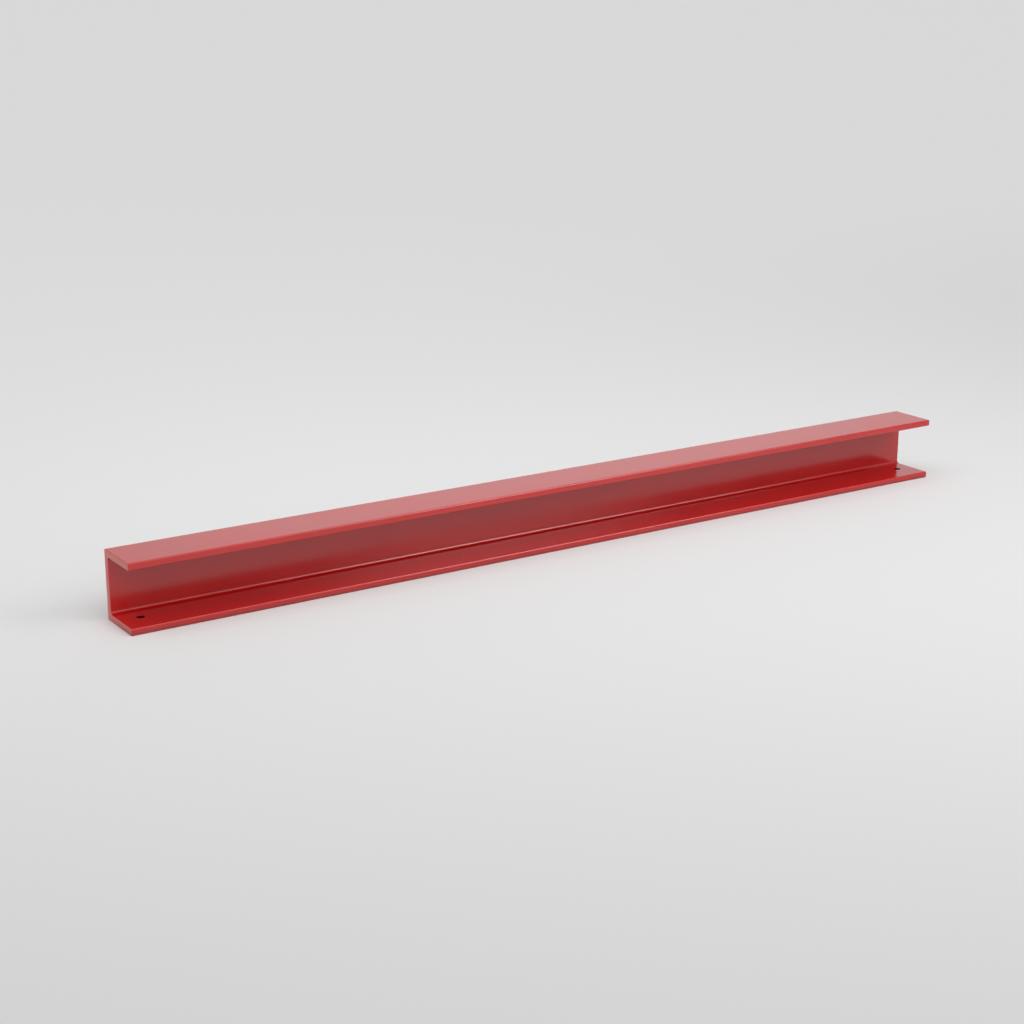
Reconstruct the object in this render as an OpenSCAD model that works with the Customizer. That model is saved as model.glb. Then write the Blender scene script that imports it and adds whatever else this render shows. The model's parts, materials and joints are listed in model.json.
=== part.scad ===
// Steel header track: one straight length of C channel with its open side to the front.
// A screw hole near each end of the lower flange fastens it down.
// X runs along the track, Y from the open side to the web, and Z up.
// The origin is at the middle of the length and of the depth, on the underside.

/* [Overall size] */
// Length of the track
track_length = 914.4; // [200:0.1:3000]
// Height over both flanges
track_height = 63.5; // [40:0.1:150]
// Depth from the flange tips to the back of the web
track_depth = 50.8; // [34:0.1:120]

/* [Walls] */
// Thickness of the upper and lower flange
flange_thickness = 6.35; // [3.2:0.05:12]
// Thickness of the upright web
web_thickness = 6.35; // [3.2:0.05:12]

/* [Edges] */
// Radius of the two fillets where the web meets the flanges
fillet_radius = 3; // [1:0.1:10]
// Radius of the long outer edges
edge_radius = 1.2; // [0.2:0.1:1.5]
// Radius of the outer edges round each sawn end
end_edge_radius = 0.8; // [0.2:0.1:1.5]

/* [Screw holes] */
// Diameter of the screw holes
hole_diameter = 7.14; // [3:0.01:12]
// Distance from each end of the track to the centre of its hole
hole_end_distance = 19.05; // [12:0.05:60]
// Distance from the back of the web to the centres of the holes
hole_gauge = 25.4; // [15:0.1:44]

/* [Hidden] */
$fn = 96;
// How far a cut runs past the surface that it goes through
overcut = 1;
end_x = track_length / 2;
back_y = track_depth / 2;
tip_y = -back_y;
web_face_y = back_y - web_thickness;
lower_face_z = flange_thickness;
upper_face_z = track_height - flange_thickness;
mid_z = track_height / 2;
hole_x = end_x - hole_end_distance;
hole_y = back_y - hole_gauge;

// The sliver between a square corner and the arc that rounds it. The signs in
// inward say which way the centre of the arc lies from the corner.
module corner_sliver(corner, inward, radius) {
    centre = corner + radius * inward;
    difference() {
        translate([min(corner.x, centre.x), min(corner.y, centre.y)])
            square(radius);
        translate(centre)
            circle(radius);
    }
}

// The square-cornered outline of the channel, with Y across and Z up
module sharp_section() {
    polygon([
        [tip_y, 0],
        [back_y, 0],
        [back_y, track_height],
        [tip_y, track_height],
        [tip_y, upper_face_z],
        [web_face_y, upper_face_z],
        [web_face_y, lower_face_z],
        [tip_y, lower_face_z]
    ]);
}

// The outline with its inner corners filleted and its outer corners rounded
module rounded_section() {
    outer_corners = [
        [[tip_y, 0], [1, 1]],
        [[tip_y, lower_face_z], [1, -1]],
        [[tip_y, upper_face_z], [1, 1]],
        [[tip_y, track_height], [1, -1]],
        [[back_y, 0], [-1, 1]],
        [[back_y, track_height], [-1, -1]]
    ];
    difference() {
        union() {
            sharp_section();
            corner_sliver([web_face_y, lower_face_z], [-1, 1], fillet_radius);
            corner_sliver([web_face_y, upper_face_z], [-1, -1], fillet_radius);
        }
        for (item = outer_corners)
            corner_sliver(item[0], item[1], edge_radius);
    }
}

// The full length of channel, with square ends
module channel_bar() {
    translate([-end_x, 0, 0])
        rotate([90, 0, 90])
            linear_extrude(track_length)
                rounded_section();
}

// Cutters that round the upright outer edges of both ends
module upright_end_edges() {
    translate([0, 0, -overcut])
        linear_extrude(track_height + 2 * overcut)
            for (x_side = [-1, 1], y_side = [-1, 1])
                corner_sliver([x_side * end_x, y_side * back_y], [-x_side, -y_side], end_edge_radius);
}

// Cutters that round the top and bottom edges of both ends
module level_end_edges() {
    translate([0, back_y + overcut, mid_z])
        rotate([90, 0, 0])
            linear_extrude(track_depth + 2 * overcut)
                for (x_side = [-1, 1], z_side = [-1, 1])
                    corner_sliver([x_side * end_x, z_side * mid_z], [-x_side, -z_side], end_edge_radius);
}

// Drills for the screw holes through the lower flange
module screw_holes() {
    for (side = [-1, 1])
        translate([side * hole_x, hole_y, -overcut])
            cylinder(h = flange_thickness + 2 * overcut, d = hole_diameter);
}

// The finished track, in one piece
module header_track() {
    color("firebrick")
        difference() {
            channel_bar();
            upright_end_edges();
            level_end_edges();
            screw_holes();
        }
}

header_track();
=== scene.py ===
import json
import math

import bpy
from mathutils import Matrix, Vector


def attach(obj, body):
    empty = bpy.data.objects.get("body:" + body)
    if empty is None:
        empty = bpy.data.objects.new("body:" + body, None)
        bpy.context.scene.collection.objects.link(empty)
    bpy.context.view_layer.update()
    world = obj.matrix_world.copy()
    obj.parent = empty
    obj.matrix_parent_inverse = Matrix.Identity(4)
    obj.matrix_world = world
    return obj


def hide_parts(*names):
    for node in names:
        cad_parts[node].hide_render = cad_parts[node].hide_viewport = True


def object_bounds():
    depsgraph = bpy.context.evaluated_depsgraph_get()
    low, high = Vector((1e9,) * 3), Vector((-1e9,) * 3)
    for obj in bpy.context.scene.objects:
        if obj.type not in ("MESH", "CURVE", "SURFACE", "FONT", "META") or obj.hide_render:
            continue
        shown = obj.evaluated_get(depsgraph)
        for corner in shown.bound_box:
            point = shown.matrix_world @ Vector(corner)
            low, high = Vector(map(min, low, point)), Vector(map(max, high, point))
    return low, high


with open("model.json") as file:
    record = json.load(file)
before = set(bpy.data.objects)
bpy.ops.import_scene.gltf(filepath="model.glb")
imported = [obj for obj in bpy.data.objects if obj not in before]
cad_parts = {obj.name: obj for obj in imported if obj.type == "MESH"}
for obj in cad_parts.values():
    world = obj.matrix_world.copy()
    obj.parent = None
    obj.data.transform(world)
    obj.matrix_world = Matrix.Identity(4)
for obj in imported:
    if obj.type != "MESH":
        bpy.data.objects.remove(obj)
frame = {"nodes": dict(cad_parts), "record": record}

cad_low, cad_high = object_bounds()

# A steel header track: one length of C channel, painted red, on a pale studio floor.
# Everything is in metres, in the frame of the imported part: X runs along the track, Y from
# its open side to the web, and Z up.

NODE = "header_track"

# Roundings of the channel
FILLET_RADIUS = 0.003
EDGE_RADIUS = 0.0012
END_EDGE_RADIUS = 0.0008
HOLE_EDGE_RADIUS = 0.0002
ARC_STEPS = 8
FILLET_STEPS = 14
END_STEPS = 5
HOLE_EDGE_STEPS = 4
HOLE_POINTS = 64
# Half the length of the stretch that is cut out of the flange round a hole, in hole radii
HOLE_CELL_REACH = 2

# What the mesh tells the paint about each point, from 0 to 1: rounded edges, the sawn ends,
# painted shade on the edges where it meets the floor, and the walls of the holes
MARKS = ("edge", "sawn", "grime", "bore")
# The most painted shade that the edges on the floor take
GROUND_EDGE_SHADE = 0.8

# The coat varies between two reds and has streaks along the bar. It is thinner and paler on
# the edges, partly a painted highlight, chalky on the sawn ends, paler still as a painted sheen,
# and darkened as painted shade in the holes and on the edges at the floor
RED_DEEP = (0.45, 0.005, 0.004, 1)
RED_BRIGHT = (0.50, 0.007, 0.006, 1)
RED_STREAK = (0.43, 0.005, 0.004, 1)
# Thin paint on the rounded edges, paler also as a painted highlight
RED_THIN_AND_HIGHLIT = (0.54, 0.03, 0.025, 1)
# Chalky sawn ends, paler also as a painted sheen
RED_CHALKY_AND_SHEEN = (0.66, 0.18, 0.165, 1)
# Painted shade: the dark of the holes and of the edges at the floor
RED_PAINTED_SHADE = (0.13, 0.001, 0.001, 1)
STREAK_SHARE = 0.35
THIN_AND_HIGHLIT_SHARE = 0.5
CHALKY_AND_SHEEN_SHARE = 0.85
# Its gloss, and what the sawn ends and the edges on the floor add to the roughness
PAINT_IOR = 1.7
PAINT_ROUGHNESS = (0.16, 0.20)
SAWN_ROUGHNESS = 0.3
FLOOR_EDGE_ROUGHNESS = 0.75
# The patterns of the coat: features for each metre, levels of detail, and how far each axis
# is squeezed
MOTTLE = (16, 3)
ROLLING = (1, 3, (2, 260, 260))
WAVES = (22, 1)
PEEL = (420, 1)
GRAIN = (900, 2)
SAW_MARKS = (1, 2, (0, 60, 900))
# The parts of the noise that the coat's colour and gloss follow
MOTTLE_RANGE = (0.3, 0.7)
STREAK_RANGE = (0.35, 0.65)
# Depths of the relief
WAVE_DEPTH = 0.00006
ROLLING_DEPTH = 0.000008
PEEL_DEPTH = 0.000012
GRAIN_DEPTH = 0.000004
SAW_MARK_DEPTH = 0.00006

# The camera looks at a point near the middle of the track, at the photo's angle
VIEW_AZIMUTH = -33.29
VIEW_ELEVATION = 16.37
VIEW_DISTANCE = 1.833
AIM_OFFSET = Vector((-0.0616, 0, 0.0064))
LENS_MM = 68.2
CLIP_START = 0.01
CLIP_END = 200

# Light of the studio, where an even 1 all round lights a white surface to white.
# Each patch is a soft round light in the sky: azimuth, elevation, the angles from its centre
# at which it starts to fade and is gone, all in degrees, and its level.
AMBIENT_LEVEL = 0.35
SKY_PATCHES = {
    "key": (0, 50, 5, 45, 1.25),
    "top": (-60, 75, 5, 45, 0.7),
    "back": (148, 6, 5, 27, 0.6),
}
# The level of the sky at the horizon, towards -Y and towards +Y, which is that of the far
# paper, and the height in degrees within which it changes to the levels above
HORIZON_LEVEL = (0.58, 0.69)
HORIZON_RISE = 3
# Each panel is a soft box that faces the track: its place, width, height and level. The strip
# is where the web and the lower flange reflect it together, as the sheen along mid-track.
PANELS = {
    "top_panel": ((-0.7, 0.1, 1.3), 0.8, 0.8, 1.5),
    "front_panel": ((0.95, -1.1, 1.05), 0.8, 0.8, 4.8),
    "strip_panel": ((1.04, -1.74, 0.82), 0.6, 0.9, 2.2),
}
# The grids of the soft boxes let their light out within this full angle, in degrees
GRID_ANGLE = 90

# How far the paper reaches from the middle of the track
PAPER_REACH = 45
# The paper in front of the track and behind it, and the depths between which it changes
PAPER_FRONT = (0.715, 0.715, 0.715, 1)
PAPER_BACK = (0.87, 0.87, 0.87, 1)
PAPER_FADE = (-1.0, 1.7)
PAPER_ROUGHNESS = 0.9
PAPER_SPECULAR = 0.1


# Camera ------------------------------------------------------------------------------------


def view_direction(azimuth, elevation):
    """The unit vector from the track towards a camera at these angles, in degrees."""
    a = math.radians(azimuth)
    e = math.radians(elevation)
    return Vector((math.sin(a) * math.cos(e), -math.cos(a) * math.cos(e), math.sin(e)))


def make_camera():
    data = bpy.data.cameras.new("camera")
    data.lens = LENS_MM
    data.clip_start = CLIP_START
    data.clip_end = CLIP_END
    camera = bpy.data.objects.new("camera", data)
    towards = view_direction(VIEW_AZIMUTH, VIEW_ELEVATION)
    camera.location = (cad_low + cad_high) / 2 + AIM_OFFSET + towards * VIEW_DISTANCE
    camera.rotation_mode = "QUATERNION"
    camera.rotation_quaternion = towards.to_track_quat("Z", "Y")
    bpy.context.scene.collection.objects.link(camera)
    bpy.context.scene.camera = camera


# Materials ---------------------------------------------------------------------------------


def new_material(name):
    """A node material with its Principled shader and its tree."""
    material = bpy.data.materials.new(name)
    material.use_nodes = True
    tree = material.node_tree
    return material, tree, tree.nodes["Principled BSDF"]


def add_node(tree, kind, inputs=None, **settings):
    """Adds a node. An input that is a socket is linked, and any other is a plain value."""
    node = tree.nodes.new(kind)
    for name, value in settings.items():
        setattr(node, name, value)
    for name, value in (inputs or {}).items():
        if isinstance(value, bpy.types.NodeSocket):
            tree.links.new(value, node.inputs[name])
        else:
            node.inputs[name].default_value = value
    return node


def mesh_mark(tree, name):
    """What the mesh says about a point, from 0 to 1."""
    return add_node(tree, "ShaderNodeAttribute", attribute_name=name).outputs["Fac"]


def noise(tree, coords, scale, detail, squeeze=(1, 1, 1)):
    """Noise of about 0 to 1 round 0.5, with its features about 1 / scale metres across."""
    mapping = add_node(tree, "ShaderNodeMapping", {"Vector": coords, "Scale": squeeze})
    node = add_node(
        tree,
        "ShaderNodeTexNoise",
        {"Vector": mapping.outputs["Vector"], "Scale": scale, "Detail": detail},
    )
    return node.outputs["Fac"]


def ramp(tree, value, from_range, to_range, shape="LINEAR"):
    """Maps value from one range to another, clamped. SMOOTHSTEP eases both ends."""
    node = add_node(
        tree,
        "ShaderNodeMapRange",
        {
            "Value": value,
            "From Min": from_range[0],
            "From Max": from_range[1],
            "To Min": to_range[0],
            "To Max": to_range[1],
        },
        interpolation_type=shape,
    )
    return node.outputs["Result"]


def math_pair(tree, operation, first, second):
    """A Math node on two sockets or numbers."""
    return add_node(tree, "ShaderNodeMath", {0: first, 1: second}, operation=operation).outputs[0]


def mix_colour(tree, factor, first, second):
    """Mixes two colours: a factor of 0 gives the first, and 1 the second."""
    inputs = {0: factor, 6: first, 7: second}
    return add_node(tree, "ShaderNodeMix", inputs, data_type="RGBA").outputs[2]


def bump(tree, height, distance, normal=None):
    """Adds relief of the given depth in metres over the normal."""
    inputs = {"Height": height, "Distance": distance, "Strength": 1.0}
    if normal is not None:
        inputs["Normal"] = normal
    return add_node(tree, "ShaderNodeBump", inputs).outputs["Normal"]


def paint_colour(tree, mottle, rolling, edge, sawn, painted_shade):
    """The colour of the coat, as a node socket."""
    tone = mix_colour(tree, ramp(tree, mottle, MOTTLE_RANGE, (0, 1)), RED_DEEP, RED_BRIGHT)
    streaks = ramp(tree, rolling, STREAK_RANGE, (0, STREAK_SHARE))
    tone = mix_colour(tree, streaks, tone, RED_STREAK)
    # The rounded edges: thin paint, and a painted highlight
    tone = mix_colour(tree, ramp(tree, edge, (0, 1), (0, THIN_AND_HIGHLIT_SHARE)), tone, RED_THIN_AND_HIGHLIT)
    # The sawn ends and their roundings: chalky, and a painted sheen
    tone = mix_colour(tree, ramp(tree, sawn, (0, 1), (0, CHALKY_AND_SHEEN_SHARE)), tone, RED_CHALKY_AND_SHEEN)
    # Painted shade in the holes and on the edges at the floor
    return mix_colour(tree, painted_shade, tone, RED_PAINTED_SHADE)


def red_paint():
    """Satin red paint, sprayed over rolled steel and over its sawn ends."""
    material, tree, shader = new_material("satin_red_paint")
    coords = add_node(tree, "ShaderNodeTexCoord").outputs["Object"]
    edge, sawn, grime, bore = [mesh_mark(tree, name) for name in MARKS]
    # Broad unevenness of the coat, and faint rolling marks along the bar
    mottle = noise(tree, coords, *MOTTLE)
    rolling = noise(tree, coords, *ROLLING)

    # Painted shade: the walls of the holes and the edges at the floor are darkened
    painted_shade = math_pair(tree, "MAXIMUM", grime, bore)
    tone = paint_colour(tree, mottle, rolling, edge, sawn, painted_shade)
    tree.links.new(tone, shader.inputs["Base Color"])

    rough = ramp(tree, mottle, MOTTLE_RANGE, PAINT_ROUGHNESS)
    rough = math_pair(tree, "ADD", rough, ramp(tree, sawn, (0, 1), (0, SAWN_ROUGHNESS)))
    # The edges at the floor, darkened as painted shade, are also made rougher
    rough = math_pair(tree, "ADD", rough, ramp(tree, grime, (0, 1), (0, FLOOR_EDGE_ROUGHNESS)))
    tree.links.new(rough, shader.inputs["Roughness"])
    shader.inputs["IOR"].default_value = PAINT_IOR

    # Relief: long waves of the rolled face, orange peel, fine grain, and saw marks on the ends
    normal = bump(tree, noise(tree, coords, *WAVES), WAVE_DEPTH)
    normal = bump(tree, rolling, ROLLING_DEPTH, normal)
    normal = bump(tree, noise(tree, coords, *PEEL), PEEL_DEPTH, normal)
    normal = bump(tree, noise(tree, coords, *GRAIN), GRAIN_DEPTH, normal)
    marks = math_pair(tree, "MULTIPLY", noise(tree, coords, *SAW_MARKS), sawn)
    normal = bump(tree, marks, SAW_MARK_DEPTH, normal)
    tree.links.new(normal, shader.inputs["Normal"])
    return material


def floor_paper():
    """Matt pale paper, paler behind the track, where the panels light it less."""
    material, tree, shader = new_material("floor_paper")
    position = add_node(tree, "ShaderNodeTexCoord").outputs["Object"]
    depth = add_node(tree, "ShaderNodeSeparateXYZ", {0: position}).outputs["Y"]
    behind = ramp(tree, depth, PAPER_FADE, (0, 1), "SMOOTHSTEP")
    tree.links.new(mix_colour(tree, behind, PAPER_FRONT, PAPER_BACK), shader.inputs["Base Color"])
    shader.inputs["Roughness"].default_value = PAPER_ROUGHNESS
    shader.inputs["Specular IOR Level"].default_value = PAPER_SPECULAR
    return material


# The channel -------------------------------------------------------------------------------


def wall_thicknesses():
    """The thickness of the lower flange and of the web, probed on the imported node."""
    node = frame["nodes"][NODE]
    middle = (cad_low + cad_high) / 2
    hit_down = node.ray_cast(middle, Vector((0, 0, -1)))[1]
    hit_back = node.ray_cast(middle, Vector((0, 1, 0)))[1]
    return hit_down.z - cad_low.z, cad_high.y - hit_back.y


def floor_edge_shading(down):
    """Painted shade on a rounded edge at the floor, from how far it faces down: 0 at the side,
    where it is half as strong and fades up the face, to 1 on the underside, which gets none."""
    return GROUND_EDGE_SHADE * (0.5 + 0.5 * down) * (1 - down**4)


# Places of two of the outline's corners in its list
TIP_BOTTOM = 0
LOWER_FILLET = 6


class Outline:
    """The rounded C section as a closed loop of points in Y and Z."""

    def __init__(self, flange, web):
        tip, back = cad_low.y, cad_high.y
        bottom, top = cad_low.z, cad_high.z
        face = back - web
        # Each corner, its radius, and 1 for an outer edge or -1 for an inner fillet
        corners = [
            ((tip, bottom), EDGE_RADIUS, 1),
            ((back, bottom), EDGE_RADIUS, 1),
            ((back, top), EDGE_RADIUS, 1),
            ((tip, top), EDGE_RADIUS, 1),
            ((tip, top - flange), EDGE_RADIUS, 1),
            ((face, top - flange), FILLET_RADIUS, -1),
            ((face, bottom + flange), FILLET_RADIUS, -1),
            ((tip, bottom + flange), EDGE_RADIUS, 1),
        ]
        self.points = []
        self.normals = []
        self.edge = []
        self.grime = []
        self.corner_start = []
        for index, (corner, radius, bulge) in enumerate(corners):
            here = Vector(corner)
            before = (Vector(corners[index - 1][0]) - here).normalized()
            after = (Vector(corners[(index + 1) % len(corners)][0]) - here).normalized()
            centre = here + (before + after) * radius
            steps = ARC_STEPS if bulge > 0 else FILLET_STEPS
            self.corner_start.append(len(self.points))
            for step in range(steps + 1):
                turn = math.radians(90) * step / steps
                out = -(after * math.cos(turn) + before * math.sin(turn))
                self.points.append(centre + out * radius)
                self.normals.append(out * bulge)
                # Outer edges off the floor get the paler edge tone, thin paint and a painted
                # highlight; the edges on the floor get none
                self.edge.append(math.sin(2 * turn) if bulge > 0 and here.y > bottom else 0.0)
                # Painted shade on the edges at the floor
                self.grime.append(floor_edge_shading(-out.y) if here.y == bottom else 0.0)

    def flat_after(self, corner):
        """Index of the straight segment that follows a corner's arc."""
        count = len(self.corner_start)
        return (self.corner_start[(corner + 1) % count] - 1) % len(self.points)


class MeshParts:
    """Points, normals, marks and faces of the mesh, gathered before it is made."""

    def __init__(self):
        self.points = []
        self.normals = []
        self.marks = {name: [] for name in MARKS}
        self.faces = []

    def add(self, point, normal, **marks):
        """Adds a point and returns its index. A mark that isn't given is 0."""
        self.points.append(point)
        self.normals.append(normal)
        for name in MARKS:
            self.marks[name].append(marks.get(name, 0.0))
        return len(self.points) - 1


def add_ring(parts, outline, end_x, lean, side):
    """One loop of the outline, on the rounding between the sides and an end face. lean runs
    from 0, square to the sides, to a quarter turn, on the end face at end_x. side is -1 for
    the left end, 1 for the right one, and 0 for a loop that is simply at end_x."""
    ring = []
    tilt = math.sin(lean)
    x = end_x - side * END_EDGE_RADIUS * (1 - tilt)
    inset = END_EDGE_RADIUS * (1 - math.cos(lean))
    points = zip(outline.points, outline.normals, outline.edge, outline.grime)
    for point, normal, edge, grime in points:
        at = point - normal * inset
        facing = normal * math.cos(lean)
        ring.append(
            parts.add(
                Vector((x, at.x, at.y)),
                Vector((side * tilt, facing.x, facing.y)),
                # The end roundings take the paler edge tone: thin paint and a painted highlight
                edge=max(edge, math.sin(2 * lean)),
                # The end faces and their roundings take the chalky tone, with its painted sheen
                sawn=tilt**2,
                # Painted shade on the edges at the floor
                grime=grime,
            )
        )
    return ring


def hole_layout():
    """Places and radius of the screw holes, as the record's mount gives them."""
    mount = next(m for m in frame["record"]["mounts"] if m["name"] == "screw_holes")
    centre = Vector(mount["pos_m"])
    half = mount["dims"]["spacing_x_mm"] / 2000
    places = [Vector((centre.x + side * half, centre.y)) for side in (-1, 1)]
    return places, mount["dims"]["hole_r_mm"] / 1000


def add_circle(parts, centre, radius, face_z, turn_in, side):
    """A ring of points round a hole's rim. turn_in runs from 0 on the flange's face to a
    quarter turn on the bore's wall, and side is 1 for the upper rim and -1 for the lower."""
    ring = []
    wall = math.sin(turn_in)
    flat = math.cos(turn_in)
    reach = radius + HOLE_EDGE_RADIUS * (1 - wall)
    z = face_z - side * HOLE_EDGE_RADIUS * (1 - flat)
    for step in range(HOLE_POINTS):
        turn = 2 * math.pi * (step + 0.5) / HOLE_POINTS
        out = Vector((math.cos(turn), math.sin(turn)))
        at = centre + out * reach
        normal = Vector((-out.x * wall, -out.y * wall, side * flat))
        # The bore's wall is marked for the painted shade of the hole
        ring.append(parts.add(Vector((at.x, at.y, z)), normal, bore=wall))
    return ring


def bridge(parts, first, second):
    """Joins two rings with the same number of points."""
    count = len(first)
    for i in range(count):
        j = (i + 1) % count
        parts.faces.append((first[i], first[j], second[j], second[i]))


def add_hole(parts, centre, radius, bottom, top):
    """The wall of a hole with its rounded rims. Returns its outermost lower and upper rings."""
    turns = [math.radians(90) * step / HOLE_EDGE_STEPS for step in range(HOLE_EDGE_STEPS + 1)]
    rings = [add_circle(parts, centre, radius, bottom, turn, -1) for turn in turns]
    rings += [add_circle(parts, centre, radius, top, turn, 1) for turn in reversed(turns)]
    for lower, upper in zip(rings, rings[1:]):
        bridge(parts, upper, lower)
    return rings[0], rings[-1]


def fill_round_hole(parts, corners, circle, flip):
    """Fills between a rectangle's corners and the circle inside it, one side at a time.
    The corners run anticlockwise seen from above, from the one at low X and low Y."""
    quarter = HOLE_POINTS // 4
    # The circle's points start at the +X axis, so the low corner is five eighths of a turn on
    first = HOLE_POINTS * 5 // 8
    for side in range(4):
        start = first + side * quarter
        arc = [circle[(start + k) % HOLE_POINTS] for k in range(quarter + 1)]
        face = [corners[side], corners[(side + 1) % 4], *reversed(arc)]
        parts.faces.append(tuple(reversed(face)) if flip else tuple(face))


def add_stations(parts, outline, holes, hole_radius):
    """The loops of the outline from the left end to the right one. Returns them, and for each
    loop before a hole, which hole that is."""
    leans = [math.radians(90) * step / END_STEPS for step in range(END_STEPS + 1)]
    rings = [add_ring(parts, outline, cad_low.x, lean, -1) for lean in reversed(leans)]
    hole_after = {}
    reach = hole_radius * HOLE_CELL_REACH
    for number, place in enumerate(holes):
        hole_after[len(rings)] = number
        rings.append(add_ring(parts, outline, place.x - reach, 0, 0))
        rings.append(add_ring(parts, outline, place.x + reach, 0, 0))
    rings += [add_ring(parts, outline, cad_high.x, lean, 1) for lean in leans]
    return rings, hole_after


def track_parts():
    """The skin of the whole channel."""
    flange, web = wall_thicknesses()
    outline = Outline(flange, web)
    parts = MeshParts()
    holes, hole_radius = hole_layout()
    rings, hole_after = add_stations(parts, outline, holes, hole_radius)

    count = len(outline.points)
    under = outline.flat_after(TIP_BOTTOM)
    upper = outline.flat_after(LOWER_FILLET)
    for cell, (here, there) in enumerate(zip(rings, rings[1:])):
        drilled = cell in hole_after
        for i in range(count):
            j = (i + 1) % count
            if drilled and i in (under, upper):
                continue
            parts.faces.append((here[i], here[j], there[j], there[i]))
        if drilled:
            low_ring, high_ring = add_hole(
                parts, holes[hole_after[cell]], hole_radius, cad_low.z, cad_low.z + flange
            )
            # Under the flange the outline runs from the tip to the back, and on top the other way
            corners = [here[under], there[under], there[under + 1], here[under + 1]]
            fill_round_hole(parts, corners, low_ring, True)
            corners = [here[upper + 1], there[upper + 1], there[upper], here[upper]]
            fill_round_hole(parts, corners, high_ring, False)
    parts.faces.append(tuple(reversed(rings[0])))
    parts.faces.append(tuple(rings[-1]))
    return parts


def build_track():
    parts = track_parts()
    mesh = bpy.data.meshes.new("painted_track")
    mesh.from_pydata(parts.points, [], parts.faces)
    mesh.validate()
    for name, values in parts.marks.items():
        layer = mesh.attributes.new(name, "FLOAT", "POINT")
        layer.data.foreach_set("value", values)
    mesh.polygons.foreach_set("use_smooth", [True] * len(mesh.polygons))
    mesh.normals_split_custom_set_from_vertices([n.normalized() for n in parts.normals])
    mesh.materials.append(red_paint())
    track = bpy.data.objects.new("painted_track", mesh)
    bpy.context.scene.collection.objects.link(track)
    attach(track, "root")
    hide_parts(NODE)


# Studio ------------------------------------------------------------------------------------


def make_floor():
    """One big sheet of paper under the track, so wide that its end looks like the horizon."""
    far = PAPER_REACH
    mesh = bpy.data.meshes.new("floor")
    corners = [(-far, -far, 0), (far, -far, 0), (far, far, 0), (-far, far, 0)]
    mesh.from_pydata(corners, [], [(0, 1, 2, 3)])
    mesh.materials.append(floor_paper())
    floor = bpy.data.objects.new("floor", mesh)
    floor.location.z = cad_low.z
    bpy.context.scene.collection.objects.link(floor)


def light_patch(tree, direction, azimuth, elevation, inner, outer, level):
    """A soft round patch of light in the sky, as a node socket."""
    dot = add_node(tree, "ShaderNodeVectorMath", {0: direction}, operation="DOT_PRODUCT")
    dot.inputs[1].default_value = view_direction(azimuth, elevation)
    edges = (math.cos(math.radians(outer)), math.cos(math.radians(inner)))
    return ramp(tree, dot.outputs["Value"], edges, (0, level), "SMOOTHSTEP")


def make_sky():
    """Even light all round, with the soft patches over it: the large key light over the
    front, another overhead, and a low one behind that gives the top its sheen. At the horizon
    the sky has the level of the far paper, so that the paper runs on into it."""
    world = bpy.data.worlds.new("studio")
    world.use_nodes = True
    tree = world.node_tree
    bpy.context.scene.world = world
    direction = add_node(tree, "ShaderNodeTexCoord").outputs["Generated"]
    level = AMBIENT_LEVEL
    for patch in SKY_PATCHES.values():
        level = math_pair(tree, "ADD", light_patch(tree, direction, *patch), level)
    axes = add_node(tree, "ShaderNodeSeparateXYZ", {0: direction}).outputs
    far_level = ramp(tree, axes["Y"], (-1, 1), HORIZON_LEVEL)
    top_of_rise = math.sin(math.radians(HORIZON_RISE))
    risen = ramp(tree, axes["Z"], (0, top_of_rise), (0, 1), "SMOOTHSTEP")
    inputs = {0: risen, 2: far_level, 3: level}
    level = add_node(tree, "ShaderNodeMix", inputs, data_type="FLOAT").outputs[0]
    shader = tree.nodes["Background"]
    shader.inputs["Color"].default_value = (1, 1, 1, 1)
    tree.links.new(level, shader.inputs["Strength"])


def make_panel(name, place, width, height, level):
    """A soft box that the camera doesn't see, turned to the middle of the track."""
    data = bpy.data.lights.new(name, "AREA")
    data.shape = "RECTANGLE"
    data.size = width
    data.size_y = height
    # A bare panel of radiance L gives off pi * L watts for each square metre, and Cycles
    # keeps the watts when a grid narrows the beam, so they come down by the grid's share
    data.spread = math.radians(GRID_ANGLE)
    grid_share = 1 - (data.spread / 2) / math.tan(data.spread / 2)
    data.energy = level * math.pi * width * height * grid_share
    panel = bpy.data.objects.new(name, data)
    panel.location = place
    aim = (cad_low + cad_high) / 2 - panel.location
    panel.rotation_mode = "QUATERNION"
    panel.rotation_quaternion = aim.to_track_quat("-Z", "Y")
    panel.visible_camera = False
    bpy.context.scene.collection.objects.link(panel)


make_camera()
make_floor()
make_sky()
for panel_name, panel in PANELS.items():
    make_panel(panel_name, *panel)
build_track()
bpy.context.scene.view_settings.view_transform = "Standard"
